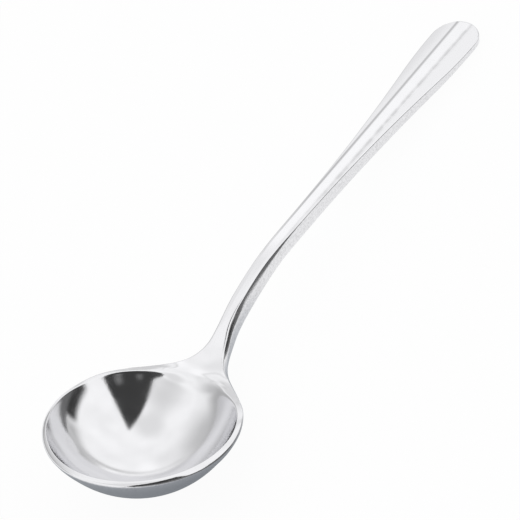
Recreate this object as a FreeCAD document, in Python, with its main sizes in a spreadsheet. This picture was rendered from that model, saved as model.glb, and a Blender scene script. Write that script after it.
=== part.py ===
import FreeCAD, Part
import math
import os
import re
import Sketcher

# One-piece measuring scoop of polished stainless steel, for ground coffee.
# It is drawn with the rim of the bowl level at z = 0 and the handle along +X.
# At the end the body is turned about Y, onto the round of its bowl and the tip of its handle.

os.makedirs("parts", exist_ok=True)
doc = FreeCAD.newDocument("Scoop")

# Driving dimensions, in mm and degrees
DIMENSIONS = [
    ("rim_radius", 25.0, "outer radius of the round rim"),
    ("rim_band", 1.45, "width of the flat band on top of the rim"),
    ("bowl_depth", 16.3, "outside depth of the bowl, from the rim down"),
    ("floor_wall", 1.1, "wall thickness at the lowest point of the bowl"),
    ("dip_start", 9.0, "distance from the bowl axis at which the rim starts to dip"),
    ("dip_radius", 51.0, "radius of the curve that starts the dip"),
    ("dip_angle", 9.5, "steepest fall of the dip"),
    ("dip_run", 6.7, "length along X of the straight part of the dip"),
    ("rise_radius", 15.0, "radius of the hollow curve that turns the neck up"),
    ("rise_angle", 43.0, "steepest rise of the neck"),
    ("bend_radius", 30.0, "radius of the first bend of the stem"),
    ("bend_angle", 19.0, "rise that is left after the first bend"),
    ("arch_radius", 92.0, "radius of the long bend after it"),
    ("handle_angle", 5.4, "rise of the straight handle"),
    ("handle_reach", 169.0, "distance from the bowl axis to the end of the handle"),
    ("tip_thick", 2.6, "thickness at the end of the handle"),
    ("root_radius", 11.53, "radius of the curve that leads the outside of the bowl into the neck"),
    ("root_angle", 42.7, "place on the outside of the bowl at which the underside of the neck leaves it"),
    ("edge_break", 0.6, "width of the broken lower edges of neck and handle"),
    ("throat_start", 31.7, "distance from the bowl axis at which the underside turns up"),
    ("throat_radius", 14.0, "radius of the curve that turns the underside of the neck up"),
    ("belly_angle", 38.0, "steepest rise of the underside"),
    ("underside_angle", 6.5, "rise of the underside of the handle"),
    ("blank_inset", 3.0, "how far inside the rim the sides of the blank of neck and handle stay"),
    ("blank_height", 13.0, "height of that blank"),
    ("stem_half_width", 2.05, "half width of the stem"),
    ("shoulder_angle", 45.0, "place on the rim at which the shoulders leave it"),
    ("shoulder_wrap", 25.0, "stretch of the rim beyond the shoulders that the web of the neck follows"),
    ("neck_radius", 20.0, "radius of the hollow curve at each side of the neck"),
    ("flare_start", 69.1, "distance from the bowl axis at which the handle starts to widen"),
    ("brow_radius", 178.25, "radius of the curve that leads the sides into the round end"),
    ("tip_radius", 7.0, "radius of the round end of the handle"),
    ("trough_angle", 50.0, "slope of the bowl wall where the trough leaves it"),
    ("trough_lip_radius", 8.0, "radius of the rounded lip between bowl and neck"),
    ("trough_lip_angle", 2.0, "rise of the trough on top of the lip"),
    ("trough_radius", 14.0, "radius of the hollow curve of the trough up the neck"),
    ("trough_end_angle", 50.0, "rise of the trough where it has left the neck"),
    ("trough_cross_radius", 20.0, "radius of the trough, across the neck"),
    ("trough_half_width", 12.0, "half width of the tool that cuts the trough"),
    ("trough_height", 6.0, "height of the tool that cuts the trough"),
    ("trough_clear", 0.05, "clearance between the bowl wall and the start of the trough"),
    ("trough_run", 0.6, "straight start of the trough"),
    ("panel_half_width", 1.04, "half width of the central panel, drawn back to the bowl axis"),
    ("panel_spread", 0.39, "angle between the edge of the panel and the middle line"),
    ("facet_fall", 8.0, "fall of the side facets of the handle"),
    ("facet_delay", 10.0, "part of the first bend that is over before the facets reach their full depth"),
    ("facet_lead", 6.0, "straight run along which the facets fade in"),
    ("stock_margin", 20.0, "how far the cutting outlines reach past the metal"),
]

sizes = doc.addObject("Spreadsheet::Sheet", "Sizes")
for row, (alias, number, meaning) in enumerate(DIMENSIONS, start=1):
    sizes.set(f"A{row}", meaning)
    sizes.set(f"B{row}", str(number))
    sizes.setAlias(f"B{row}", alias)
doc.recompute()

ALIASES = re.compile(r"\b(" + "|".join(name for name, number, meaning in DIMENSIONS) + r")\b")


def bound(formula):
    """The formula as an expression that reads the sheet."""
    return ALIASES.sub(r"Sizes.\1", formula)


def amount(formula):
    """The formula's value as a number."""
    return float(sizes.evalExpression(formula))


def direction(angle):
    return FreeCAD.Vector(math.cos(math.radians(angle)), math.sin(math.radians(angle)), 0)


class Outline:
    """A chain of lines and tangent arcs in a sketch, each size bound to the sheet."""

    def __init__(self, sketch, x, y, heading=0, side=1, centre=None):
        self.sketch = sketch
        self.centre = centre
        self.side = side
        self.point = FreeCAD.Vector(amount(x), side * amount(y), 0)
        self.heading = side * heading
        self.start = (x, y)
        self.first = None
        self.last = None

    def constrain(self, *terms):
        return self.sketch.addConstraint(Sketcher.Constraint(*terms))

    def drive(self, kind, terms, formula):
        datum = amount(formula)
        index = self.constrain(kind, *terms, math.radians(datum) if kind == "Angle" else datum)
        self.sketch.setExpression(f"Constraints[{index}]", bound(formula))

    def place(self, corner, x=None, y=None):
        """Ties a corner of the outline to a place; 0 is the axis itself."""
        for kind, formula, axis in (("DistanceX", x, -2), ("DistanceY", y, -1)):
            if formula == "0":
                self.constrain("PointOnObject", *corner, axis)
            elif formula is not None:
                mirrored = self.side < 0 and kind == "DistanceY"
                self.drive(kind, (-1, 1, *corner), f"-({formula})" if mirrored else formula)

    def join(self, corner, smooth):
        if self.last is None:
            self.first = corner
            self.place(corner, *self.start)
            if smooth and self.centre is not None:
                self.place((corner[0], 3), *self.centre)
            elif smooth:
                self.constrain("Vertical" if self.heading == 0 else "Horizontal", corner[0], 3, *corner)
        elif smooth:
            self.constrain("Tangent", *self.last, *corner)
        else:
            self.constrain("Coincident", *self.last, *corner)

    def line_to(self, x, y):
        """A line to a stated point."""
        end = FreeCAD.Vector(amount(x), self.side * amount(y), 0)
        geometry = self.sketch.addGeometry(Part.LineSegment(self.point, end))
        self.join((geometry, 1), smooth=False)
        self.last = (geometry, 2)
        self.place(self.last, x, y)
        self.point = end

    def run(self, length, x=None, y=None):
        """A line that goes on in the same direction, about as long as stated, up to x or y."""
        end = self.point + direction(self.heading) * length
        geometry = self.sketch.addGeometry(Part.LineSegment(self.point, end))
        level = self.last is None
        self.join((geometry, 1), smooth=not level)
        if level:
            self.constrain("Horizontal", geometry)
        self.last = (geometry, 2)
        self.place(self.last, x, y)
        self.point = end

    def turn(self, radius, angle, left=True, x=None, y=None):
        """An arc that goes on in the same direction and turns by an angle."""
        sense = self.side if left else -self.side
        centre = self.point + direction(self.heading + 90 * sense) * amount(radius)
        opening = self.heading - 90 * sense
        closing = opening + sense * amount(angle)
        low, high = sorted((math.radians(opening), math.radians(closing)))
        circle = Part.Circle(centre, FreeCAD.Vector(0, 0, 1), amount(radius))
        geometry = self.sketch.addGeometry(Part.ArcOfCircle(circle, low, high))
        near, far = (1, 2) if sense > 0 else (2, 1)
        self.join((geometry, near), smooth=True)
        if self.first != (geometry, near) or self.centre is None:
            self.drive("Radius", (geometry,), radius)
        self.drive("Angle", (geometry,), angle)
        self.last = (geometry, far)
        self.place(self.last, x, y)
        self.point = centre + direction(closing) * amount(radius)
        self.heading += sense * amount(angle)

    def close_onto(self, other):
        """A line from the end of this outline to the end of another one."""
        geometry = self.sketch.addGeometry(Part.LineSegment(self.point, other.point))
        self.constrain("Coincident", *self.last, geometry, 1)
        self.constrain("Coincident", geometry, 2, *other.last)

    def close(self):
        """A line back to the first corner."""
        geometry = self.sketch.addGeometry(Part.LineSegment(self.point, self.sketch.getPoint(*self.first)))
        self.constrain("Coincident", *self.last, geometry, 1)
        self.constrain("Coincident", geometry, 2, *self.first)


def attached_sketch(name, role, offset=None):
    """A sketch on one of the body's own origin planes."""
    sketch = body.newObject("Sketcher::SketchObject", name)
    plane = next(item for item in body.Origin.OriginFeatures if item.Role == role)
    sketch.AttachmentSupport = [(plane, "")]
    sketch.MapMode = "FlatFace"
    if offset is not None:
        sketch.AttachmentOffset = offset
    return sketch


def section_sketch(name, x, z, slope):
    """A sketch across a path that starts at x, z and rises at a slope."""
    offset = FreeCAD.Placement(
        FreeCAD.Vector(0, amount(z), amount(x)),
        FreeCAD.Rotation(FreeCAD.Vector(-1, 0, 0), amount(slope)),
    )
    sketch = attached_sketch(name, "YZ_Plane", offset)
    sketch.setExpression("AttachmentOffset.Base.y", bound(z))
    sketch.setExpression("AttachmentOffset.Base.z", bound(x))
    sketch.setExpression("AttachmentOffset.Rotation.Angle", bound(slope))
    return sketch


def finish(feature, base=None):
    """Recomputes the body up to this feature and checks that the feature changed it."""
    doc.recompute()
    volume = feature.Shape.Volume
    if base is not None and abs(volume - base.Shape.Volume) < 1:
        raise RuntimeError(f"{feature.Name} leaves the body as it was")
    print(f"{feature.Name}: {volume:.0f} mm3")


def edges_between(shape, first, second):
    """Names of the edges at which a face of the first kind meets one of the second kind."""
    names = []
    for number, edge in enumerate(shape.Edges, start=1):
        faces = shape.ancestorsOfType(edge, Part.Face)
        if edge.Degenerated or len(faces) != 2:
            continue
        middle = edge.valueAt((edge.FirstParameter + edge.LastParameter) / 2)
        one, other = (face.normalAt(*face.Surface.parameter(middle)) for face in faces)
        if (first(one) and second(other)) or (first(other) and second(one)):
            names.append(f"Edge{number}")
    return names


def is_wall(normal):
    return abs(normal.z) < 0.05


def is_underside(normal):
    return normal.z < -0.5 and normal.x > -0.1


def rounded_section(sketch, radius, half_width, height, bottom):
    """A section with a round bottom, straight sides and a flat top."""
    base = amount(bottom)
    half = amount(half_width)
    side_low = base + amount(f"{radius} - sqrt({radius} ^ 2 - {half_width} ^ 2)")
    top = base + amount(height)
    lowest = FreeCAD.Vector(0, base, 0)
    round_side = sketch.addGeometry(
        Part.Arc(FreeCAD.Vector(-half, side_low, 0), lowest, FreeCAD.Vector(half, side_low, 0))
    )
    corners = [(half, side_low), (half, top), (-half, top), (-half, side_low)]
    points = [FreeCAD.Vector(x, y, 0) for x, y in corners]
    lines = [sketch.addGeometry(Part.LineSegment(*pair)) for pair in zip(points, points[1:])]
    for terms in (
        ("Coincident", round_side, 2, lines[0], 1),
        ("Coincident", lines[0], 2, lines[1], 1),
        ("Coincident", lines[1], 2, lines[2], 1),
        ("Coincident", lines[2], 2, round_side, 1),
        ("Vertical", lines[0]),
        ("Horizontal", lines[1]),
        ("Vertical", lines[2]),
        ("PointOnObject", round_side, 3, -2),
    ):
        sketch.addConstraint(Sketcher.Constraint(*terms))
    for kind, terms, formula in (
        ("Radius", (round_side,), radius),
        ("DistanceX", (-1, 1, round_side, 2), half_width),
        ("DistanceY", (-1, 1, round_side, 3), f"{bottom} + {radius}"),
        ("DistanceY", (-1, 1, lines[0], 2), f"{bottom} + {height}"),
    ):
        index = sketch.addConstraint(Sketcher.Constraint(kind, *terms, amount(formula)))
        sketch.setExpression(f"Constraints[{index}]", bound(formula))


# Places along the top of the scoop, worked out from the curves that make it up
DIP_END_X = "(dip_start + dip_radius * sin(dip_angle) + dip_run)"
NECK_TOP_X = f"({DIP_END_X} + rise_radius * (sin(dip_angle) + sin(rise_angle)))"
NECK_TOP_Z = (
    "(rise_radius * (cos(dip_angle) - cos(rise_angle))"
    " - dip_radius * (1 - cos(dip_angle)) - dip_run * tan(dip_angle))"
)
HANDLE_X = (
    f"({NECK_TOP_X} + bend_radius * (sin(rise_angle) - sin(bend_angle))"
    " + arch_radius * (sin(bend_angle) - sin(handle_angle)))"
)
HANDLE_Z = (
    f"({NECK_TOP_Z} + bend_radius * (cos(bend_angle) - cos(rise_angle))"
    " + arch_radius * (cos(handle_angle) - cos(bend_angle)))"
)
TIP_Z = f"({HANDLE_Z} + (handle_reach - {HANDLE_X}) * tan(handle_angle))"
OUTER_SPHERE = "((rim_radius ^ 2 + bowl_depth ^ 2) / (2 * bowl_depth))"
INNER_RIM = "(rim_radius - rim_band)"
INNER_DEPTH = "(bowl_depth - floor_wall)"
INNER_SPHERE = f"(({INNER_RIM} ^ 2 + {INNER_DEPTH} ^ 2) / (2 * {INNER_DEPTH}))"
ABOVE = "(stock_margin * 3)"
BEYOND = "(stock_margin / 4)"
END_X = f"(handle_reach + {BEYOND})"

body = doc.addObject("PartDesign::Body", "Scoop")
body.Label = "scoop"

# Blank of the neck and handle: its underside starts on the outside of the bowl and in line with it
ROOT_X = f"({OUTER_SPHERE} * sin(root_angle))"
ROOT_Z = f"({OUTER_SPHERE} - bowl_depth - {OUTER_SPHERE} * cos(root_angle))"
ROOT_CENTRE = (f"{ROOT_X} + root_radius * sin(root_angle)", f"{ROOT_Z} - root_radius * cos(root_angle)")
NECK_Z = f"({ROOT_Z} + root_radius * (1 - cos(root_angle)))"
BELLY_X = "(throat_start + throat_radius * sin(belly_angle))"
BELLY_Z = f"(throat_radius * (1 - cos(belly_angle)) + {NECK_Z})"
END_Z = f"({TIP_Z} - tip_thick + {BEYOND} * tan(underside_angle))"
BELLY_TURN = "(cos(underside_angle) - cos(belly_angle))"
BELLY_REACH = "(sin(belly_angle) - sin(underside_angle))"
BELLY_RADIUS = (
    f"(({END_Z} - {BELLY_Z} - ({END_X} - {BELLY_X}) * tan(underside_angle))"
    f" / ({BELLY_TURN} - {BELLY_REACH} * tan(underside_angle)))"
)
throat_run = amount(f"throat_start - ({ROOT_CENTRE[0]})")
handle_run = amount(f"({END_X} - {BELLY_X} - {BELLY_REACH} * {BELLY_RADIUS}) / cos(underside_angle)")
underside = attached_sketch("UndersideLine", "XZ_Plane")
chain = Outline(underside, ROOT_X, ROOT_Z, amount("root_angle"), centre=ROOT_CENTRE)
chain.turn("root_radius", "root_angle", left=False)
chain.run(throat_run)
chain.turn("throat_radius", "belly_angle")
chain.turn(BELLY_RADIUS, "belly_angle - underside_angle", left=False)
chain.run(handle_run, END_X, END_Z)
across = section_sketch("UndersideSection", ROOT_X, ROOT_Z, "root_angle")
rounded_section(across, OUTER_SPHERE, "(rim_radius - blank_inset)", "blank_height", "0")
blank = body.newObject("PartDesign::AdditivePipe", "HandleBlank")
blank.Profile = across
blank.Spine = (underside, [])
finish(blank)

# Outline seen from above: neck, widening handle and round end
plan = attached_sketch("PlanOutline", "XY_Plane")
SHOULDER_X = "rim_radius * cos(shoulder_angle)"
SHOULDER_Y = "rim_radius * sin(shoulder_angle)"
NECK_HALF_WIDTH = "(stem_half_width + neck_radius * (1 - sin(shoulder_angle)))"
FLARE_REACH = "(handle_reach - tip_radius - flare_start)"
FLARE_ANGLE = f"(2 * atan((tip_radius - stem_half_width) / {FLARE_REACH}))"
FLARE_RADIUS = f"({FLARE_REACH} / sin({FLARE_ANGLE}) - brow_radius)"
neck_start = amount(
    f"(rim_radius - {NECK_HALF_WIDTH} * sin(shoulder_angle)) / cos(shoulder_angle)"
    " + neck_radius * cos(shoulder_angle)"
)
stem_run = amount("flare_start") - neck_start
shoulder_run = amount(f"({SHOULDER_Y} - {NECK_HALF_WIDTH}) / cos(shoulder_angle)")
halves = []
for side in (1, -1):
    chain = Outline(plan, "handle_reach", "0", 90, side)
    chain.turn("tip_radius", "90")
    chain.turn("brow_radius", FLARE_ANGLE)
    chain.turn(FLARE_RADIUS, FLARE_ANGLE, left=False)
    chain.run(stem_run)
    chain.turn("neck_radius", "90 - shoulder_angle", left=False)
    chain.run(shoulder_run, SHOULDER_X, SHOULDER_Y)
    chain.turn("rim_radius", "shoulder_wrap")
    halves.append(chain)
halves[0].close_onto(halves[1])
FRAME_X = "handle_reach + stock_margin"
FRAME_Y = "rim_radius + stock_margin"
frame = Outline(plan, "0", f"-({FRAME_Y})")
for x, y in ((FRAME_X, f"-({FRAME_Y})"), (FRAME_X, FRAME_Y), ("0", FRAME_Y)):
    frame.line_to(x, y)
frame.close()
trim = body.newObject("PartDesign::Pocket", "PlanTrim")
trim.Profile = plan
trim.Type = "ThroughAll"
trim.Midplane = True
finish(trim, blank)

# Broken lower edges, where the sides meet the underside
broken = body.newObject("PartDesign::Chamfer", "LowerEdges")
broken.Base = (trim, edges_between(trim.Shape, is_wall, is_underside))
broken.setExpression("Size", "Sizes.edge_break")
finish(broken, trim)

# Bowl: a solid cap of a sphere first, hollowed further down
outside = attached_sketch("BowlOutside", "XZ_Plane")
chain = Outline(outside, "0", "-bowl_depth")
chain.turn(OUTER_SPHERE, "2 * atan(bowl_depth / rim_radius)")
chain.line_to("0", "0")
chain.close()
bowl = body.newObject("PartDesign::Revolution", "BowlCap")
bowl.Profile = outside
bowl.ReferenceAxis = (outside, ["V_Axis"])
bowl.Angle = 360
finish(bowl, broken)

# Top: the rim dips at the shoulders and runs up the neck and along the handle
top = attached_sketch("TopLine", "XZ_Plane")
chain = Outline(top, "dip_start", "0")
chain.turn("dip_radius", "dip_angle", left=False)
chain.run(amount("dip_run / cos(dip_angle)"), DIP_END_X)
chain.turn("rise_radius", "dip_angle + rise_angle")
chain.turn("bend_radius", "rise_angle - bend_angle", left=False)
chain.turn("arch_radius", "bend_angle - handle_angle", left=False)
chain.run(amount(f"({END_X} - {HANDLE_X}) / cos(handle_angle)"), END_X)
chain.line_to(END_X, ABOVE)
chain.line_to("dip_start", ABOVE)
chain.close()
level = body.newObject("PartDesign::Pocket", "TopTrim")
level.Profile = top
level.Type = "ThroughAll"
level.Midplane = True
finish(level, bowl)

# Hollow of the bowl
inside = attached_sketch("BowlInside", "XZ_Plane")
chain = Outline(inside, "0", f"-{INNER_DEPTH}")
chain.turn(INNER_SPHERE, f"2 * atan({INNER_DEPTH} / {INNER_RIM})")
chain.line_to(INNER_RIM, BEYOND)
chain.line_to("0", BEYOND)
chain.close()
hollow = body.newObject("PartDesign::Groove", "BowlHollow")
hollow.Profile = inside
hollow.ReferenceAxis = (inside, ["V_Axis"])
hollow.Angle = 360
finish(hollow, level)

# Trough: the wall of the bowl rolls over a rounded lip and runs up the neck
TROUGH_BALL = f"({INNER_SPHERE} - trough_clear)"
TROUGH_X = f"({TROUGH_BALL} * sin(trough_angle))"
TROUGH_Z = f"({INNER_SPHERE} - {INNER_DEPTH} - {TROUGH_BALL} * cos(trough_angle))"
trough_line = attached_sketch("TroughLine", "XZ_Plane")
chain = Outline(trough_line, TROUGH_X, TROUGH_Z, amount("trough_angle"))
chain.line_to(f"{TROUGH_X} + trough_run * cos(trough_angle)", f"{TROUGH_Z} + trough_run * sin(trough_angle)")
chain.turn("trough_lip_radius", "trough_angle - trough_lip_angle", left=False)
chain.turn("trough_radius", "trough_end_angle - trough_lip_angle")
trough_section = section_sketch("TroughSection", TROUGH_X, TROUGH_Z, "trough_angle")
rounded_section(trough_section, "trough_cross_radius", "trough_half_width", "trough_height", "0")
trough = body.newObject("PartDesign::SubtractivePipe", "NeckTrough")
trough.Profile = trough_section
trough.Spine = (trough_line, [])
finish(trough, hollow)

# Facets: the top of the handle falls away at each side of a central panel.
# They fade in over a straight run that touches the first bend of the stem.
FACET_HEADING = "(rise_angle - facet_delay)"
FACET_X = f"({NECK_TOP_X} + bend_radius * (sin(rise_angle) - sin{FACET_HEADING}))"
FACET_Z = f"({NECK_TOP_Z} + bend_radius * (cos{FACET_HEADING} - cos(rise_angle)))"
LEAD_X = f"({FACET_X} - facet_lead * cos{FACET_HEADING})"
LEAD_Z = f"({FACET_Z} - facet_lead * sin{FACET_HEADING})"
facet_base = trough
for side, name in ((1, "LeftFacet"), (-1, "RightFacet")):
    slant = FreeCAD.Placement(
        FreeCAD.Vector(0, 0, -side * amount("panel_half_width")),
        FreeCAD.Rotation(FreeCAD.Vector(0, side, 0), amount("panel_spread")),
    )
    line = attached_sketch(name + "Line", "XZ_Plane", slant)
    line.setExpression("AttachmentOffset.Base.z", bound(f"{-side} * panel_half_width"))
    line.setExpression("AttachmentOffset.Rotation.Angle", bound("panel_spread"))
    chain = Outline(line, LEAD_X, LEAD_Z, amount(FACET_HEADING))
    chain.line_to(FACET_X, FACET_Z)
    chain.turn("bend_radius", f"{FACET_HEADING} - bend_angle", left=False)
    chain.turn("arch_radius", "bend_angle - handle_angle", left=False)
    chain.run(amount(f"({END_X} - {HANDLE_X}) / cos(handle_angle)"), END_X)
    chain.line_to(END_X, ABOVE)
    chain.line_to(LEAD_X, ABOVE)
    chain.close()
    facet = body.newObject("PartDesign::Pocket", name)
    facet.Profile = line
    facet.Type = "Length"
    facet.Length = amount("stock_margin")
    facet.UseCustomVector = True
    fall = math.radians(amount("facet_fall"))
    facet.Direction = FreeCAD.Vector(0, side * math.cos(fall), -math.sin(fall))
    finish(facet, facet_base)
    facet_base = facet


# Pose at rest: the handle comes down until the bowl and the end of the handle stand on one level
BALL_Z = f"({OUTER_SPHERE} - bowl_depth)"
HEEL_X = "(handle_reach - edge_break * cos(underside_angle))"
HEEL_Z = f"({END_Z} - ({END_X} - {HEEL_X}) * tan(underside_angle))"
HEEL_RISE = f"({HEEL_Z} - {BALL_Z})"
REST_TILT = (
    f"(atan({HEEL_RISE} / {HEEL_X})"
    f" + asin({OUTER_SPHERE} / sqrt({HEEL_X} ^ 2 + {HEEL_RISE} ^ 2)))"
)
turn = FreeCAD.Rotation(FreeCAD.Vector(0, 1, 0), amount(REST_TILT))
turned = body.Shape.copy()
turned.Placement = FreeCAD.Placement(FreeCAD.Vector(), turn)
middle = turned.optimalBoundingBox().Center
rest_height = amount(f"{OUTER_SPHERE} - {BALL_Z} * cos({REST_TILT})")
body.Placement = FreeCAD.Placement(FreeCAD.Vector(-middle.x, 0, rest_height), turn)
doc.recompute()
print(f"at rest: turned {amount(REST_TILT):.3f} degrees, moved by {body.Placement.Base}")

for item in doc.Objects:
    if "Invalid" in item.State or "Error" in item.State:
        raise RuntimeError(f"{item.Name}: {item.State}")
if body.Shape.isNull() or not body.Shape.isValid() or len(body.Shape.Solids) != 1:
    raise RuntimeError("the scoop is not one valid solid")
body.Shape.exportStep(f"parts/{body.Label}.step")
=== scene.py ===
# %% [markdown]
# # A polished steel coffee scoop
# The real scoop is one piece of stainless steel. It starts as a flat blank, which is pressed
# between dies into a deep round bowl, a dipping neck and a handle with three long faces.
# This lesson makes it the same way: a flat blank, a thickness, one press, and then the polish.

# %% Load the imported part
import math

import bmesh
import bpy
import numpy as np
from mathutils import Matrix, Vector


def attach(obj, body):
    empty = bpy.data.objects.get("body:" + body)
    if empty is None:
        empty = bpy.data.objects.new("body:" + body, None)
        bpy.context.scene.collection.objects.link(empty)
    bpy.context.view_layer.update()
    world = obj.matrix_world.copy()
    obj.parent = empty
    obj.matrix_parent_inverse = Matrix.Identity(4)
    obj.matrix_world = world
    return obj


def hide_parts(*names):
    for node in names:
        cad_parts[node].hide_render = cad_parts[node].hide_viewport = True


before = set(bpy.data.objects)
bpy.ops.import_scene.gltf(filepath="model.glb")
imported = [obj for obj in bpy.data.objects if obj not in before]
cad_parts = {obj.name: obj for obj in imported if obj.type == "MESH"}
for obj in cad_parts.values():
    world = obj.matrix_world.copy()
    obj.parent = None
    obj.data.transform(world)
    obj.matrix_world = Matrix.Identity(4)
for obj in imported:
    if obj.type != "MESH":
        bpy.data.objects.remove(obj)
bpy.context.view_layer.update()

MM = 0.001

# %% [markdown]
# ## The camera
# The scoop was photographed from above its right side, over the bowl, with a long lens, so the
# far end of the handle looks almost as large as the near rim. The place and turn come from
# fitting the rim's ellipse and the line of the handle to the picture.

# %% Camera
SENSOR_WIDTH = 36             # in mm, as the lens
LENS = 218.85
CAMERA_AT = (-0.45310, -0.38907, 0.57343)
CAMERA_TURN = (45.2984, 11.7819, -59.8922)

camera_data = bpy.data.cameras.new("camera")
camera_data.sensor_width = SENSOR_WIDTH
camera_data.lens = LENS
camera_data.clip_end = 20
camera = bpy.data.objects.new("camera", camera_data)
camera.location = CAMERA_AT
camera.rotation_euler = [math.radians(angle) for angle in CAMERA_TURN]
bpy.context.scene.collection.objects.link(camera)
bpy.context.scene.camera = camera
print("camera", round(camera.location.length, 3), "m from the middle of the scoop")

# %% [markdown]
# ## Nodes and colours
# Every material below is built with the same three helpers. The first adds one node, with its
# settings, its plain values and its links. The second turns the sRGB hex colour that a designer
# would pick into the linear values that the renderer works in. The third marks out a place by
# multiplying soft ramps, because light and wear on steel never end at a hard line.


# %% Three helpers for materials
def add(tree, kind, inputs=(), **settings):
    """Adds a node. An input is a plain value, or a socket or a node to link from."""
    node = tree.nodes.new(kind)
    for name, value in settings.items():
        setattr(node, name, value)
    for name, value in dict(inputs).items():
        if isinstance(value, bpy.types.Node):
            value = value.outputs[0]
        if isinstance(value, bpy.types.NodeSocket):
            tree.links.new(value, node.inputs[name])
        else:
            node.inputs[name].default_value = value
    return node


def linear(hex_colour):
    """The linear RGBA of an sRGB colour written as six hex digits."""
    parts = [int(hex_colour[i:i + 2], 16) / 255 for i in (0, 2, 4)]
    return [p / 12.92 if p < 0.04045 else ((p + 0.055) / 1.055) ** 2.4 for p in parts] + [1.0]


def mask(tree, *ramps):
    """Multiplies ramps. Each is a value, where it starts and ends, and its level at both."""
    result = 1.0
    for value, start, end, at_start, at_end in ramps:
        ramp = add(tree, "ShaderNodeMapRange", {0: value, 1: start, 2: end, 3: at_start, 4: at_end},
                   interpolation_type="SMOOTHSTEP")
        result = add(tree, "ShaderNodeMath", {0: result, 1: ramp}, operation="MULTIPLY")
    return result


print("mid grey 808080 is", round(linear("808080")[0], 3), "in linear light")

# %% [markdown]
# ## The studio
# Polished steel has hardly a colour of its own: it shows the room. Photographers hang a white tent
# round it for that reason, and the room here is such a tent. Lamps and cards could stand round the
# scoop instead, but the world shader can draw the whole tent by direction, with edges as soft as
# cloth, and still show plain white to the camera. First every ray needs its two angles.

# %% The direction of every ray
world = bpy.data.worlds.new("white studio tent")
bpy.context.scene.world = world
world.use_nodes = True
tent = world.node_tree
tent.nodes.clear()
direction = add(tent, "ShaderNodeTexCoord").outputs["Generated"]
toward = add(tent, "ShaderNodeSeparateXYZ", {0: direction}).outputs
azimuth = add(tent, "ShaderNodeMath", {0: toward["Y"], 1: toward["X"]}, operation="ARCTAN2")
azimuth = add(tent, "ShaderNodeMath", {0: azimuth}, operation="DEGREES")
elevation = add(tent, "ShaderNodeMath", {0: toward["Z"]}, operation="ARCSINE")
elevation = add(tent, "ShaderNodeMath", {0: elevation}, operation="DEGREES")
print("direction from", len(tent.nodes), "nodes")

# %% [markdown]
# The cloth isn't white all round. Where it is thin, folded or in shade it is greyer, and those
# stretches shade the bowl and the neck. The low gap beside the table is the dark streak along the
# stem and the dark patch at the left of the bowl.

# %% Stretches of cloth
OPENINGS = [
    # name, azimuth from and to, elevation from and to, softness, brightness
    ("grey cloth behind", (62, 108), (8, 44), 18, 0.66),
    ("darker foot of the cloth behind", (49, 128), (-14, 20), 8, 0.52),
    ("bright cloth over the handle", (24, 40), (26, 40), 6, 1.22),
    ("thin cloth overhead", (-180, 180), (76, 120), 8, 0.92),
    ("greyer cloth high behind", (40, 64), (36, 50), 9, 0.98),
    ("grey cloth at the left", (150, 205), (38, 72), 24, 0.80),
    ("grey cloth low over the handle", (25, 45), (1, 12), 8, 0.62),
    ("thinner cloth low at the side", (-39, 6), (-8, 13), 7, 0.58),
    ("low gap beside the table", (-80, -42), (-30, 12), 4, 0.05),
]


def edge(value, middle, softness):
    """The ramp from 0 to 1 of a soft edge. A negative softness turns the edge round."""
    return value, middle - softness, middle + softness, 0.0, 1.0


def patch(around, height, softness):
    """1 inside a stretch of azimuths and elevations, 0 outside it."""
    centre = sum(around) / 2
    # the distance from the middle of the stretch, the short way round
    away = add(tent, "ShaderNodeMath", {0: azimuth, 1: centre}, operation="SUBTRACT")
    away = add(tent, "ShaderNodeMath", {0: away, 1: 180.0, 2: -180.0}, operation="WRAP")
    away = add(tent, "ShaderNodeMath", {0: away}, operation="ABSOLUTE")
    return mask(tent, edge(away, around[1] - centre, -softness),
                edge(elevation, height[0], softness), edge(elevation, height[1], -softness))


layers = [(name, patch(around, height, softness), level)
          for name, around, height, softness, level in OPENINGS]
print("stretches of cloth:", len(layers))

# %% [markdown]
# A seam is straight, so every ray that meets it lies in one plane. It is the fine grey arc in the
# lower half of the bowl. It is made fainter towards the handle, where the real neck shows none.

# %% A seam in the cloth
SEAM_PLANE = (-0.239, -0.368, 0.899)
SEAM_OFFSET = 0.02
SEAM_HALF = 0.035             # half the width of the seam

seam = add(tent, "ShaderNodeVectorMath", {0: direction, 1: SEAM_PLANE}, operation="DOT_PRODUCT")
seam = add(tent, "ShaderNodeMath", {0: seam.outputs["Value"], 1: SEAM_OFFSET}, operation="SUBTRACT")
seam = add(tent, "ShaderNodeMath", {0: seam}, operation="ABSOLUTE")
seam = mask(tent, edge(seam, SEAM_HALF, -0.025), edge(toward["X"], 0.42, 0.08))
fainter = add(tent, "ShaderNodeMapRange", {0: toward["Y"], 1: 0.20, 2: 0.50, 3: 1.0, 4: 0.4})
seam = add(tent, "ShaderNodeMath", {0: seam, 1: fainter}, operation="MULTIPLY")
layers.append(("seam of the cloth", seam, 0.66))
print("seam across", SEAM_PLANE)

# %% [markdown]
# The camera looks in through a wedge between two straight edges of cloth: one to its left, and a
# slanting one to its right. The dark room behind it is the dark triangle in the bowl, and two
# paler things in that room are the spots in the triangle.

# %% The dark room round the camera
SLANT = -0.69                 # how far the right edge leans
PALE_SPOTS = [
    ("pale spot in the dark room", (-120, -112), (24, 33), 3, 0.22),
    ("second pale spot", (-146, -139), (28, 37), 3, 0.20),
]

slant = add(tent, "ShaderNodeMath", {0: toward["Y"], 1: SLANT, 2: toward["X"]},
            operation="MULTIPLY_ADD")
wedge = mask(tent, edge(toward["Y"], -0.26, -0.02), edge(slant, 0.455, -0.025),
             edge(elevation, 1.0, 3.0))
layers.append(("dark room round the camera", wedge, 0.055))
layers += [(name, patch(around, height, softness), level)
           for name, around, height, softness, level in PALE_SPOTS]
print("layers of the tent:", len(layers))

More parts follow.
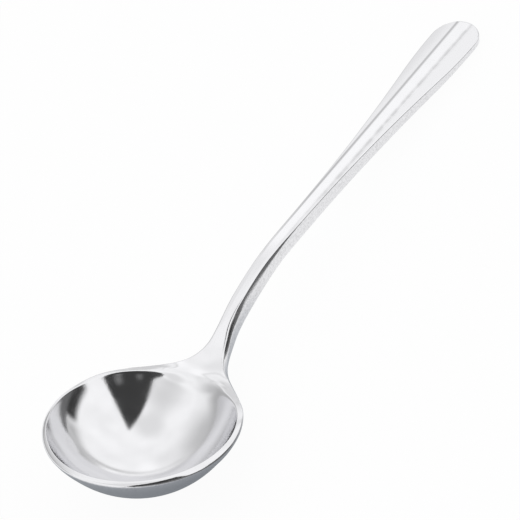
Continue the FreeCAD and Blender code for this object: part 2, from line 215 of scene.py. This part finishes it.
# %% [markdown]
# The cloth hangs in shallow folds, so a broad noise makes its white a little uneven. The layers
# are then laid over it one by one, like sheets, and the later ones cover the earlier ones.

# %% The light of the tent
TENT = 1.14
WHITE = (1.0, 1.0, 1.0, 1.0)

folds = add(tent, "ShaderNodeTexNoise", {"Vector": direction, "Scale": 2.6, "Detail": 3.0})
brightness = add(tent, "ShaderNodeMapRange",
                 {0: folds, 1: 0.3, 2: 0.7, 3: 0.93 * TENT, 4: 1.04 * TENT})
for name, inside, level in layers:
    brightness = add(tent, "ShaderNodeMix", {0: inside, 2: brightness, 3: level}, label=name)

tent_light = add(tent, "ShaderNodeBackground", {"Color": WHITE, "Strength": brightness})
plain_white = add(tent, "ShaderNodeBackground", {"Color": WHITE, "Strength": 1.0})
seen = add(tent, "ShaderNodeLightPath").outputs["Is Camera Ray"]
both = add(tent, "ShaderNodeMixShader", {0: seen, 1: tent_light, 2: plain_white})
add(tent, "ShaderNodeOutputWorld", {0: both})
bpy.context.scene.view_settings.view_transform = "Standard"
print("tent of", len(tent.nodes), "nodes")

# %% [markdown]
# ## The floor
# The scoop lies on white paper. A plane would do for any object, but polished steel shows more of
# the paper than the camera does, so its material needs care.

# %% The sheet of paper
bpy.ops.object.select_all(action="DESELECT")
bpy.ops.mesh.primitive_plane_add(size=6, location=(0, 0, -0.0001))
paper = bpy.context.object
paper.name = "paper"
print("paper", paper.dimensions[0], "m wide")

# %% [markdown]
# To the camera the paper is white, with a faint soft shadow under the bowl and the tip of the
# handle. The steel mirrors it bright far from the bowl, and close round the bowl a painted shade
# dims its glow and makes it bluish, which gives the outside of the bowl its blue-grey. Past the
# edge of the table a painted dark stretch in the glow stands for the dark room that the steel
# mirrors.
# So the paper is matte and also glows, and the kind of ray sets how much.

# %% White matte paper
UNDER_BOWL = (-0.073, 0, 0)
TO_CAMERA = 0.95              # how much of the paper glows for the camera, the rest being matte
TO_STEEL = 0.85               # and for a mirrored ray

paper_matte = bpy.data.materials.new("white matte paper")
paper_matte.use_nodes = True
tree = paper_matte.node_tree
tree.nodes.clear()
matte = add(tree, "ShaderNodeBsdfDiffuse", {"Color": linear("fdfdfe")})
rays = add(tree, "ShaderNodeLightPath").outputs
ground = add(tree, "ShaderNodeNewGeometry").outputs["Position"]
across_table = add(tree, "ShaderNodeSeparateXYZ", {0: ground}).outputs["Y"]
# painted dark: past this line the glow that the steel sees is almost black, for the room beyond the
# table
painted_dark_past_table = mask(tree, (across_table, -0.052, -0.024, 0.05, 1.0))
spot = add(tree, "ShaderNodeTexCoord").outputs["Object"]
from_bowl = add(tree, "ShaderNodeVectorMath", {0: spot, 1: UNDER_BOWL}, operation="DISTANCE")
# painted shade: the glow that the steel sees is dimmer and bluer close round the bowl
painted_shade_round_bowl = mask(tree, (from_bowl.outputs["Value"], 0.014, 0.075, 0.27, 1.08))
print("places on the paper from", len(tree.nodes), "nodes")

# %% What the paper shows to the camera and to the steel
# the painted shade and the painted dark stretch together set the glow that the steel sees
painted_dimming = add(tree, "ShaderNodeMath", {0: painted_dark_past_table, 1: painted_shade_round_bowl}, operation="MULTIPLY")
strength = add(tree, "ShaderNodeMix", {0: rays["Is Glossy Ray"], 2: 1.0, 3: painted_dimming})
plain = add(tree, "ShaderNodeMath", {0: rays["Is Camera Ray"], 1: painted_shade_round_bowl}, operation="MAXIMUM")
painted_shade_tone = add(tree, "ShaderNodeMix", {0: plain, 6: linear("dce8f6"), 7: WHITE}, data_type="RGBA")
glow = add(tree, "ShaderNodeEmission", {"Color": painted_shade_tone.outputs[2], "Strength": strength})
mirrored = add(tree, "ShaderNodeMath", {0: rays["Is Glossy Ray"], 1: TO_STEEL},
               operation="MULTIPLY")
share = add(tree, "ShaderNodeMath", {0: rays["Is Camera Ray"], 1: TO_CAMERA, 2: mirrored},
            operation="MULTIPLY_ADD")
both = add(tree, "ShaderNodeMixShader", {0: share, 1: matte, 2: glow})
add(tree, "ShaderNodeOutputMaterial", {0: both})
paper.data.materials.append(paper_matte)
print("paper with", len(tree.nodes), "nodes")

# %% [markdown]
# ## The sizes of the dies
# A press shop draws the tool in the plane of symmetry: one line for the top of the neck and
# handle, one for the underside and one for the bottom of the trough that leaves the bowl. Each
# line is straight runs and arcs, so it is written here as moves of a length and a turn. All of
# this is in millimetres, with the rim level at z = 0 and the handle along +X.

# %% The lines of the dies
RIM = 25.0                    # outer radius of the rim
INNER_RIM = 23.55             # radius at the inner edge of the band of the rim
OUTSIDE = 27.322              # radius of the outside of the bowl
OUTSIDE_CENTRE = 11.022       # height of its centre above the rim
INSIDE = 25.843               # the same for the inside
INSIDE_CENTRE = 10.643
STEP = 0.25                   # fineness of the drawn lines


def line(x, z, heading, *moves):
    """Walks from (x, z). A move is (length, 0) for a straight run or (radius, turn) for an arc."""
    points = [(x, z, math.radians(heading))]
    for size, turn in moves:
        length = size if turn == 0 else size * math.radians(abs(turn))
        count = max(1, math.ceil(length / STEP))
        for _ in range(count):
            x, z, angle = points[-1]
            middle = angle + math.radians(turn) / count / 2
            x += length / count * math.cos(middle)
            z += length / count * math.sin(middle)
            points.append((x, z, angle + math.radians(turn) / count))
    return np.array(points).T


TOP = line(0, 0, 0, (9, 0), (51, -9.5), (6.793, 0), (15, 52.5), (30, -24), (92, -13.6), (102, 0))
UNDERSIDE = line(18.53, -9.06, 42.7, (11.5, -42.7), (5.35, 0), (14, 38), (55.79, -31.5), (103, 0))
TROUGH = line(19.76, -5.94, 50, (0.6, 0), (8, -48), (14, 48), (12, 0))
print("top line ends at", TOP[:2, -1].round(2), "underside at", UNDERSIDE[:2, -1].round(2))

# %% [markdown]
# ## The outline of the blank
# Seen from above, the rim is a circle, which the shoulders leave in line with it. They sweep into
# the narrow stem, and the handle widens slowly to its round end. The outline is a second walk, in
# the plan, from the shoulder to the end of the handle.

# %% The outline from the shoulder to the tip
SHOULDER_AT = 17.678          # where the shoulder leaves the rim, along and across
OUTLINE = line(SHOULDER_AT, SHOULDER_AT, -45,
               (13.82, 0), (20, 45), (27.5, 0), (696, 6.1), (178, -6.1), (7, -82))
TIP_CENTRE = 162.0
TIP = 7.0                     # radius of the round end


def circle(radius, away):
    """Half the chord of a circle at a distance from its centre."""
    return np.sqrt(np.maximum(radius ** 2 - away ** 2, 0))


def half_width(x):
    """Half the width of neck and handle at a distance from the axis of the bowl."""
    on_tip = circle(TIP, np.maximum(x - TIP_CENTRE, 0))
    return np.where(x > TIP_CENTRE, on_tip, np.interp(x, OUTLINE[0], OUTLINE[1]))


def crease(x):
    """Half the width of the middle face of the handle."""
    return 1.04 + x * math.tan(math.radians(0.39))


for x in (20, 30, 41.6, 69, 143, 162, 168):
    print("half width at", x, "is", round(float(half_width(x)), 2))

# %% [markdown]
# ## The roundings of the edges
# The polishing wheel has rounded the upper edges a little. Where the stem bends, the edge is a
# broad slope instead, and that slope mirrors the dark streak. Both are given as the way of the
# side's upper levels: how far inside the outline each lies, and how far below the top.

# %% Edge and slope
EDGE = np.array([(0.46, 0), (0.25, 0.03), (0.10, 0.12), (0.015, 0.26), (0.0, 0.38), (0.0, 0.48)])
SLOPE = np.array([(1.40, 0), (1.12, 0.06), (0.88, 0.36), (0.32, 1.45), (0.09, 2.05), (0.0, 2.7)])
LOWER_ROUND = 0.6             # rounding of the lower edges
NECK_ROUND = 0.8              # so much broader it is under the neck


def ease(value, start, end):
    """Goes smoothly from 0 at the start to 1 at the end."""
    share = np.clip((value - start) / (end - start), 0, 1)
    return share * share * (3 - 2 * share)


def between(x, start, full, fading, end):
    """1 on a stretch of the scoop's length and 0 away from it, with eased ends."""
    return ease(x, start, full) * (1 - ease(x, fading, end))


def sloped(x):
    """How much of the side is a slope: all of it where the stem bends, nothing elsewhere."""
    return between(x, 20, 34, 48, 76)


def lower_round(x):
    """Size of the rounding of the lower edges."""
    return LOWER_ROUND + NECK_ROUND * between(x, 26, 33, 42, 56)


def top_inset(x):
    """How far inside the outline the top of neck and handle ends."""
    return EDGE[0, 0] + (SLOPE[0, 0] - EDGE[0, 0]) * sloped(x)


print("top ends", round(float(top_inset(41.0)), 2), "mm inside the bend and",
      round(float(top_inset(120.0)), 2), "mm inside the handle")

# %% [markdown]
# ## The blank
# The disk is a circle that is extruded inwards ring by ring. The rings lie close together where
# the band of the rim turns into the bowl, because a crisp edge on polished steel needs its own
# loops. A disk could also be filled at once, but then no loop would follow that edge.

# %% The disk of the blank
SPOKES = 128
BAND_RINGS = [RIM, 24.15, 24.0, 23.88, 23.78, 23.7, 23.63, 23.56, 23.46, 23.3, 23.1]
FIRST_BOWL_RING = 22.75
bowl_angles = np.linspace(math.asin(FIRST_BOWL_RING / INSIDE), 0, 26)[:-1]
rings = BAND_RINGS + [INSIDE * math.sin(angle) for angle in bowl_angles]

bpy.ops.object.select_all(action="DESELECT")
bpy.ops.mesh.primitive_circle_add(vertices=SPOKES, radius=RIM * MM, location=(0, 0, 0))
scoop = bpy.context.object
scoop.name = "polished_scoop"
bpy.ops.object.mode_set(mode="EDIT")
bpy.ops.mesh.select_mode(type="VERT")
for outer, inner in zip(rings, rings[1:]):
    bpy.ops.mesh.extrude_edges_move()
    share = inner / outer
    bpy.ops.transform.resize(value=(share, share, share), center_override=(0, 0, 0))
bpy.ops.mesh.extrude_edges_move()
bpy.ops.mesh.merge(type="CENTER")
print("disk of", len(rings), "rings and", SPOKES, "spokes")

# %% [markdown]
# The neck and handle are rows, extruded from the quarter of the circle between the shoulders. A
# row is 33 points from one side of the blank to the other. Near the bowl it is a piece of the
# rim's circle, further on it is straight, and at the tip it bends into the round end. The columns
# follow the two creases of the handle, so the creases stay crisp too.

# %% The plan of a row
SHOULDER = math.radians(45)
COLUMNS = SPOKES // 8         # columns on each side of the middle
# where the columns of each half lie between the middle, the crease and the edge
TO_CREASE = np.array([0, 0.2, 0.4, 0.58, 0.74, 0.857, 0.933, 1.0])
TO_EDGE = np.array([0.035, 0.08, 0.2, 0.36, 0.54, 0.72, 0.88, 1.0])
TOP_GAP = 0.1                 # from the last column of the top to the edge's rounding
MIDDLE_FACE = 0.8             # the middle face takes at most this share of the top
TIP_START = 150.0
LAST_ROW = TIP_CENTRE + TIP * math.cos(math.radians(50))

across = np.arange(-COLUMNS, COLUMNS + 1)
on_circle = np.sin(SHOULDER * across / COLUMNS) / math.sin(SHOULDER)


def row(x):
    """The plan of the row whose ends lie at x on the outline."""
    width = float(half_width(x))
    usable = width - float(top_inset(x)) - TOP_GAP
    middle = min(crease(x), MIDDLE_FACE * usable)
    half = np.concatenate([TO_CREASE * middle, middle + TO_EDGE * (usable - middle), [width]])
    on_faces = np.concatenate([-half[:0:-1], half])
    straight = float(ease(x, 19, 32))
    places = width * on_circle * (1 - straight) + on_faces * straight
    bulge = (1 - float(ease(x, SHOULDER_AT, 34))) * (circle(RIM, places) - circle(RIM, width))
    if x > TIP_START:
        reach = circle(TIP, places) - circle(TIP, width)
        bulge = bulge + ((x - TIP_START) / (LAST_ROW - TIP_START)) ** 3 * reach
    return x + bulge, places


print("a row has", len(row(100.0)[1]), "points")

# %% The rows of neck and handle
ROW_RUNS = [(SHOULDER_AT, 33, 34), (33, 50, 29), (50, 72, 17), (72, 154, 33), (154, LAST_ROW, 12)]
row_places = np.concatenate([np.linspace(*run)[1:] for run in ROW_RUNS])

blank = bmesh.from_edit_mesh(scoop.data)
bpy.ops.mesh.select_all(action="DESELECT")
for vert in blank.verts:
    angle = math.atan2(vert.co.y, vert.co.x)
    vert.select = vert.co.xy.length > (RIM - 0.1) * MM and abs(angle) < SHOULDER + 0.01
blank.select_flush_mode()
blank.select_flush(True)
for x in row_places:
    bpy.ops.mesh.extrude_edges_move()
    blank = bmesh.from_edit_mesh(scoop.data)
    ends = sorted((vert for vert in blank.verts if vert.select), key=lambda vert: vert.co.y)
    for vert, along, side in zip(ends, *row(x)):
        vert.co = Vector((along, side, 0)) * MM
bmesh.update_edit_mesh(scoop.data)
print("rows", len(row_places), "of", len(ends), "points,", len(blank.verts), "points in the blank")

# %% [markdown]
# The flat blank now gets its thickness: it is extruded down by eight millimetres, and its side is
# cut into eight levels. After the press these levels are the rounded edges and the flank.

# %% Thickness and levels
LEVELS = 8
bpy.ops.mesh.select_all(action="SELECT")
bpy.ops.mesh.normals_make_consistent(inside=False)
bpy.ops.mesh.extrude_region_move(TRANSFORM_OT_translate={"value": (0, 0, -LEVELS * MM)})
bpy.ops.mesh.select_all(action="DESELECT")
bpy.ops.mesh.select_mode(type="EDGE")
blank = bmesh.from_edit_mesh(scoop.data)
for upright in blank.edges:
    upright.select = abs(upright.verts[0].co.z - upright.verts[1].co.z) > MM
blank.select_flush_mode()
bpy.ops.mesh.subdivide(number_cuts=LEVELS - 1)
bpy.ops.mesh.select_all(action="SELECT")
bpy.ops.mesh.normals_make_consistent(inside=False)
bpy.ops.object.mode_set(mode="OBJECT")
print("blank with its side:", len(scoop.data.vertices), "points")

# %% [markdown]
# ## The press
# Each die is a height above the plan. The upper one is the lowest of three surfaces: the top line
# with its falling side faces, the round inside of the bowl, and the trough that leads from the
# bowl over a rounded lip into the neck. Where two of them meet, a small blend rounds the edge.


# %% Surfaces for the dies
NOWHERE = 99.0                # height of a surface where it does not exist


def follow(path, x, y, radius):
    """Height over (x, y) of a channel of that radius that follows a line, and where along it."""
    rise = radius - circle(radius, y)
    along = x.copy()
    for _ in range(12):
        along = x + rise * np.sin(np.interp(along, path[0], path[2]))
    turn = np.interp(along, path[0], path[2])
    return np.interp(along, path[0], path[1]) + rise * np.cos(turn), along


def lower_of(a, b, blend):
    """The lower of two heights, rounded over the blend where they cross."""
    share = np.clip(0.5 + 0.5 * (b - a) / blend, 0, 1)
    return b + (a - b) * share - blend * share * (1 - share)


print("of heights 1 and 2 the lower is", lower_of(1.0, 2.0, 0.5))

# %% [markdown]
# The sheet is cut square to the wall of the bowl, so the band of the rim falls towards the
# outside, except where the neck leaves it. The side faces of the handle fall away from its two
# creases, and along each crease runs a fine groove, where the die had its edge.

# %% The upper die
BAND_FALL = math.tan(math.radians(24))
BAND_RISE = 0.28              # height of the band's inner edge over the rim plane
FAR_LIFT = 0.45               # the far side of the rim stands this much higher
TOP_EXTRA = 0.35              # the handle is this much thicker above than the drawn line
FACE_FALL = math.tan(math.radians(8))
CREASE_SOFT = 0.06            # the crease is rounded over this much
GROOVE = 0.09                 # depth of the fine groove along each crease
GROOVE_WIDTH = 0.22
TROUGH_RADIUS = 20.0
TROUGH_END = 42
LIP = 0.7                     # blend of the trough with the top


def top_die(x, y):
    """Height of the upper die."""
    across_plan = np.hypot(x, y)
    height = np.interp(x, TOP[0], TOP[1])
    band = BAND_RISE - BAND_FALL * np.clip(across_plan - INNER_RIM, 0, RIM - INNER_RIM)
    band = band + FAR_LIFT * ease(y, 4, 20) * ease(x, -22, -8)
    height = height + band * (1 - ease(x, -2, 11)) + TOP_EXTRA * ease(x, 44, 60)
    beyond = np.abs(y) - crease(x)
    fall = 0.5 * (beyond + np.sqrt(beyond ** 2 + CREASE_SOFT ** 2))
    groove = GROOVE * np.exp(-(beyond / GROOVE_WIDTH) ** 2)
    height = height - ease(x, 32, 46) * (FACE_FALL * fall + groove)
    channel, along = follow(TROUGH, x, y, TROUGH_RADIUS)
    channel = np.where((along > TROUGH[0, 0]) & (x < TROUGH_END), channel, NOWHERE)
    height = lower_of(height, channel, LIP)
    inside = INSIDE_CENTRE - circle(INSIDE, across_plan)
    inside = np.where(across_plan < INSIDE - 0.5, inside, NOWHERE)
    return lower_of(height, inside, 0.25 + 0.35 * ease(x, 12, 18))


sample = np.array([0.0, 24.0, 26.0, 36.0, 60.0, 120.0])
print("top at", sample, "is", top_die(sample, 0 * sample).round(2))

# %% [markdown]
# The lower die is the round outside of the bowl and, from the neck on, a keel under the stem. Just
# below its rounded rim the outside of the bowl stands out a little. The keel is as round as the
# bowl at the neck and almost flat at the end of the handle.

# %% The lower die
RIM_SWELL = 0.42              # how far the outside stands out below the rim
FRONT_INSET = 0.22            # so much less at the end away from the handle
LOW_EXTRA = 0.25              # the handle is this much thicker below than the drawn line
NECK_LIFT = 0.6               # and the underside of the neck this much higher


def bottom_die(x, y):
    """Height of the lower die."""
    across_plan = np.hypot(x, y)
    swell = (RIM_SWELL - FRONT_INSET * ease(-x, 6, 20)) * ease(across_plan, 21.5, 24.4)
    outside = OUTSIDE_CENTRE - circle(OUTSIDE, across_plan - swell)
    outside = np.where(across_plan <= RIM, outside, NOWHERE)
    keel, along = follow(UNDERSIDE, x, y, OUTSIDE * (1 + 3 * ease(x, 90, 140)))
    keel = keel - LOW_EXTRA * between(x, 46, 60, 140, 158) + NECK_LIFT * between(x, 25, 32, 40, 50)
    keel = np.where(along > UNDERSIDE[0, 0], keel, NOWHERE)
    return np.minimum(outside, keel)


print("underside at", sample, "is", bottom_die(sample, 0 * sample).round(2))

# %% [markdown]
# Before the press closes, the side of the blank has to be known point by point. Its points stand
# in stacks, one point per level, and the stacks stand along the outline. Stepping from neighbour
# to neighbour along the top gives their order, and with it the outward direction at each.

# %% The stacks of the side
points = np.zeros(len(scoop.data.vertices) * 3)
scoop.data.vertices.foreach_get("co", points)
points = points.reshape(-1, 3) / MM
level = np.rint(-points[:, 2]).astype(int)


def plan_of(index):
    """The place of a point in the plan, rounded so that it can be looked up."""
    return round(points[index, 0], 3), round(points[index, 1], 3)


columns = {}
for index in np.where((level > 0) & (level < LEVELS))[0]:
    columns.setdefault(plan_of(index), {})[level[index]] = index
for index in np.where((level == 0) | (level == LEVELS))[0]:
    if plan_of(index) in columns:
        columns[plan_of(index)][level[index]] = index
stacks = {stack[0]: stack for stack in columns.values()}
print("side of", len(stacks), "stacks")

# %% The walk round the outline
neighbours = {index: [] for index in stacks}
for rib in scoop.data.edges:
    a, b = rib.vertices
    if a in stacks and b in stacks:
        neighbours[a].append(b)
        neighbours[b].append(a)
loop = [next(iter(neighbours))]
while True:
    after = [n for n in neighbours[loop[-1]] if n not in loop[-2:]]
    if not after or after[0] == loop[0]:
        break
    loop.append(after[0])

outline = points[loop][:, :2]
tangent = np.roll(outline, -1, 0) - np.roll(outline, 1, 0)
outward = np.stack([tangent[:, 1], -tangent[:, 0]], 1)
outward /= np.linalg.norm(outward, axis=1)[:, None]
if (outward * outline).sum() < 0:
    outward = -outward
print("walked round", len(loop), "stacks")

# %% [markdown]
# On the neck and handle the levels are laid round two corners: the upper edge, or the slope where
# the stem bends, and the lower edge. The slope is broad on the right side of the bend only, the
# side that the camera sees, and it narrows towards the handle.

# %% The side of neck and handle
HAIR = 0.002                  # just inside the outline, where both dies exist
LEFT_SLOPE = 0.25             # the left side of the bend has this much of the right side's slope
SLOPE_NARROWS = 0.42
UPPER_PART = 0.52             # at most these parts of the flank are rounded
LOWER_PART = 0.45
CORNER = 0.3                  # how much the lower rounding still keeps to its corner


def on_die(die, inset, drop=0.0):
    """Points at a distance inside the outline, on a die or a little below it."""
    plan = outline - outward * np.reshape(inset, (-1, 1))
    return np.column_stack([plan, die(plan[:, 0], plan[:, 1]) - drop])


x, y = outline.T
slope_share = sloped(x) * np.where(y < 0, 1.0, LEFT_SLOPE)
narrower = 1 - SLOPE_NARROWS * slope_share * ease(x, 38, 47)
foot = on_die(bottom_die, HAIR)
height = on_die(top_die, HAIR)[:, 2] - foot[:, 2]
flank_side = []
for on_edge, on_slope in zip(EDGE, SLOPE):
    inset, drop = np.outer(1 - slope_share, on_edge).T + np.outer(slope_share, on_slope).T
    flank_side.append(on_die(top_die, inset * narrower, np.minimum(drop, height * UPPER_PART)))
low_reach = np.minimum(lower_round(x), height * LOWER_PART)
low_edge = on_die(bottom_die, lower_round(x))
rising = foot + np.column_stack([0 * height, 0 * height, low_reach])
flank_side += [rising, (rising + low_edge) * (1 - CORNER) / 2 + foot * CORNER, low_edge]
print("flank up to", round(float(height.max()), 2), "mm high, in", len(flank_side), "levels")

# %% [markdown]
# The bowl has no flank. Its first levels go round the outer edge of the rim, with a radius of
# 0.75 mm that fades into the neck, and the others run on down the outside of the ball. Between
# bowl and neck the two ways of laying the levels are blended.

# %% The side of the bowl, and both together
BALL_INSETS = [0.465, 0.226, 0.069, 0.02, 0.084, 0.17, 0.28, 0.42, LOWER_ROUND]
BALL_DROPS = [0.0, 0.062, 0.24, 0.507]
NECK_FADE = 0.6               # how much of the drops is lost towards the neck

fade = 1 - NECK_FADE * ease(x, 8, 17)
front = FRONT_INSET * ease(-x, 6, 20)
ball_side = [on_die(top_die, front + inset, drop * fade)
             for inset, drop in zip(BALL_INSETS, BALL_DROPS)]
ball_side += [on_die(bottom_die, front + inset) for inset in BALL_INSETS[len(BALL_DROPS):]]
has_flank = (ease(height, 0.05, 0.7) * ease(x, 6, 17))[:, None]
side_levels = [on_ball + (on_flank - on_ball) * has_flank
               for on_ball, on_flank in zip(ball_side, flank_side)]
print("side from", side_levels[0].min(0).round(2), "to", side_levels[0].max(0).round(2))

# %% [markdown]
# The underside ends further inside the outline than the top does, so its columns are drawn
# together first. Then the press closes: the top goes to the upper die, the underside to the lower
# one, and the stacks of the side to their levels.

# %% Draw the underside together
LOW_GAP = 0.15                # from the last column of the underside to its rounding
beyond_disk = (level == LEVELS) & (np.hypot(points[:, 0], points[:, 1]) > RIM + 0.01)
x, y = points[beyond_disk, 0], points[beyond_disk, 1]
width = half_width(np.minimum(x, TIP_CENTRE))
draw = (width - lower_round(x) - LOW_GAP) / (width - top_inset(x) - TOP_GAP)
draw = 1 + (draw - 1) * ease(x, 28, 38)
points[beyond_disk, 0] = np.where(x > TIP_CENTRE, TIP_CENTRE + (x - TIP_CENTRE) * draw, x)
points[beyond_disk, 1] = y * draw
print("drawn together by up to", round(float(1 - draw.min()) * 100), "per cent")

# %% Press the blank
pressed = points.copy()
for number, die in ((0, top_die), (LEVELS, bottom_die)):
    on_face = level == number
    pressed[on_face, 2] = die(points[on_face, 0], points[on_face, 1])
for position, index in enumerate(loop):
    for number, point in stacks[index].items():
        pressed[point] = side_levels[number][position]
scoop.data.vertices.foreach_set("co", (pressed * MM).ravel())
scoop.data.update()
print("pressed:", pressed.min(0).round(2), pressed.max(0).round(2))

# %% [markdown]
# Last, the scoop is laid on the table, on the round of its bowl and the tip of its handle, and one
# level of Subdivision Surface smooths what lies between the loops.

# %% Lay it down and smooth it
REST_TILT = math.radians(12.320)
REST_MOVE = (-0.0727427, 0, 0.0165538)
rest = Matrix.Translation(REST_MOVE) @ Matrix.Rotation(REST_TILT, 4, "Y")
scoop.data.transform(rest)
smooth = scoop.modifiers.new("smooth", "SUBSURF")
smooth.levels = smooth.render_levels = 1
bpy.ops.object.select_all(action="DESELECT")
scoop.select_set(True)
bpy.context.view_layer.objects.active = scoop
bpy.ops.object.modifier_apply(modifier=smooth.name)
bpy.ops.object.shade_smooth()
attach(scoop, "root")
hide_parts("scoop")
print("scoop laid down, with", len(scoop.data.vertices), "points")

# %% Measure the finished mesh
check = bmesh.new()
check.from_mesh(scoop.data)
open_edges = [rib for rib in check.edges if not rib.is_manifold]
print("scoop:", len(check.faces) * 2, "triangles,", len(open_edges), "open edges, volume",
      round(check.calc_volume() / MM ** 3), "cubic mm")
check.free()

# %% [markdown]
# ## The finish
# Stainless steel, pressed and then polished on a soft wheel. It mirrors the room, but a haze and a
# fine grain from the polishing paste soften every edge in it. Nodes find the places first: the
# creases of the handle, and the flanks, which the wheel has hardly reached.

# %% Places on the steel
CREASE_WIDENS = 0.0068        # metres of half width per metre of length
CREASE_HALF = 0.001535        # half width of the middle face at the middle of the scoop, in metres

steel = bpy.data.materials.new("polished stainless steel")
steel.use_nodes = True
tree = steel.node_tree
tree.nodes.clear()
place = add(tree, "ShaderNodeTexCoord").outputs["Object"]
axes = add(tree, "ShaderNodeSeparateXYZ", {0: place}).outputs
normal = add(tree, "ShaderNodeNewGeometry").outputs["True Normal"]
facing_up = add(tree, "ShaderNodeSeparateXYZ", {0: normal}).outputs["Z"]
flatness = add(tree, "ShaderNodeMath", {0: facing_up}, operation="ABSOLUTE")
crease_at = add(tree, "ShaderNodeMath", {0: axes["X"], 1: CREASE_WIDENS, 2: CREASE_HALF},
                operation="MULTIPLY_ADD")
sideways = add(tree, "ShaderNodeMath", {0: axes["Y"]}, operation="ABSOLUTE")
outwards = add(tree, "ShaderNodeMath", {0: sideways, 1: crease_at}, operation="SUBTRACT")
from_crease = add(tree, "ShaderNodeMath", {0: outwards}, operation="ABSOLUTE")
on_left = (axes["Y"], -0.0005, 0.0005, 0.0, 1.0)
on_right = (axes["Y"], -0.0005, 0.0005, 1.0, 0.0)
on_handle = mask(tree, (axes["X"], -0.02, 0.02, 0.0, 1.0), (facing_up, 0.5, 0.7, 0.0, 1.0))
print("places on the steel from", len(tree.nodes), "nodes")

# %% [markdown]
# The left crease gets a crisp dark line of painted shade, and the face outside it is painted a
# little darker. Along the right crease the painted shade is fuzzy, broken up by a noise with spots
# of about 3 mm. The flanks are only ground, and the eye sees that as dark specks of about half a
# millimetre. All three darken the colour.

# %% Painted shade along the creases and specks on the flanks
# a noise that breaks up the painted shade along the right crease
crease_shade_breakup = add(tree, "ShaderNodeTexNoise", {"Vector": place, "Scale": 350.0, "Detail": 2.0})
specks = add(tree, "ShaderNodeTexNoise", {"Vector": place, "Scale": 2200.0, "Detail": 3.0})
# painted shade: a crisp dark line at the left crease and a fuzzy one at the right crease
painted_shade_left_crease = mask(tree, (outwards, 0.00015, 0.00050, 0.46, 0.0),
             (outwards, -0.00075, 0.00010, 0.0, 1.0), on_left)
painted_shade_right_crease = mask(tree, (from_crease, 0.0, 0.0011, 0.26, 0.0), on_right, (crease_shade_breakup, 0.3, 0.7, 0.3, 1.0))
# painted shade: the face outside the left crease is a little darker
painted_shade_left_face = mask(tree, (outwards, 0.0, 0.0040, 0.0, 0.13), on_left)
ground_flank = mask(tree, (flatness, 0.15, 0.5, 1.0, 0.0), (specks, 0.4, 0.7, 0.0, 0.22))

# painted shade of the creases and the left face, plus the specks of the ground flanks
shade = add(tree, "ShaderNodeMath", {0: painted_shade_left_crease, 1: painted_shade_right_crease}, operation="ADD")
shade = add(tree, "ShaderNodeMath", {0: shade, 1: painted_shade_left_face}, operation="ADD")
shade = add(tree, "ShaderNodeMath", {0: shade, 1: on_handle}, operation="MULTIPLY")
shade = add(tree, "ShaderNodeMath", {0: shade, 1: ground_flank}, operation="ADD")
colour = add(tree, "ShaderNodeMix", {0: shade, 6: linear("e4e4e6"), 7: linear("4a4a4c")},
             data_type="RGBA")
print("creases and specks:", len(tree.nodes), "nodes")

# %% [markdown]
# The grain of the real piece is a few hundredths of a millimetre, too fine for a pixel, so it is
# drawn coarser: 0.3 mm, with detail down to 0.08 mm. To the eye it turns each sharp reflection
# into a silky one. A haze in spots of about 4 mm changes the roughness from place to place, as
# the pressure of the wheel did.

# %% Polished steel
grain = add(tree, "ShaderNodeTexNoise",
            {"Vector": place, "Scale": 3200.0, "Detail": 2.0, "Roughness": 0.6})
haze = add(tree, "ShaderNodeTexNoise", {"Vector": place, "Scale": 240.0, "Detail": 3.0})
rough = mask(tree, (haze, 0.3, 0.7, 0.07, 0.12))
# the flanks are only ground, so their grain is deeper
depth = mask(tree, (flatness, 0.2, 0.6, 0.45, 0.12))
dent = add(tree, "ShaderNodeBump", {"Height": grain, "Strength": depth, "Distance": 0.00005})
surface = add(tree, "ShaderNodeBsdfPrincipled", {
    "Base Color": colour.outputs[2], "Metallic": 1.0, "Roughness": rough, "Normal": dent})
add(tree, "ShaderNodeOutputMaterial", {0: surface})
scoop.data.materials.clear()
scoop.data.materials.append(steel)
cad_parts["scoop"].data.materials.clear()
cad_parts["scoop"].data.materials.append(steel)
print("steel with", len(tree.nodes), "nodes")
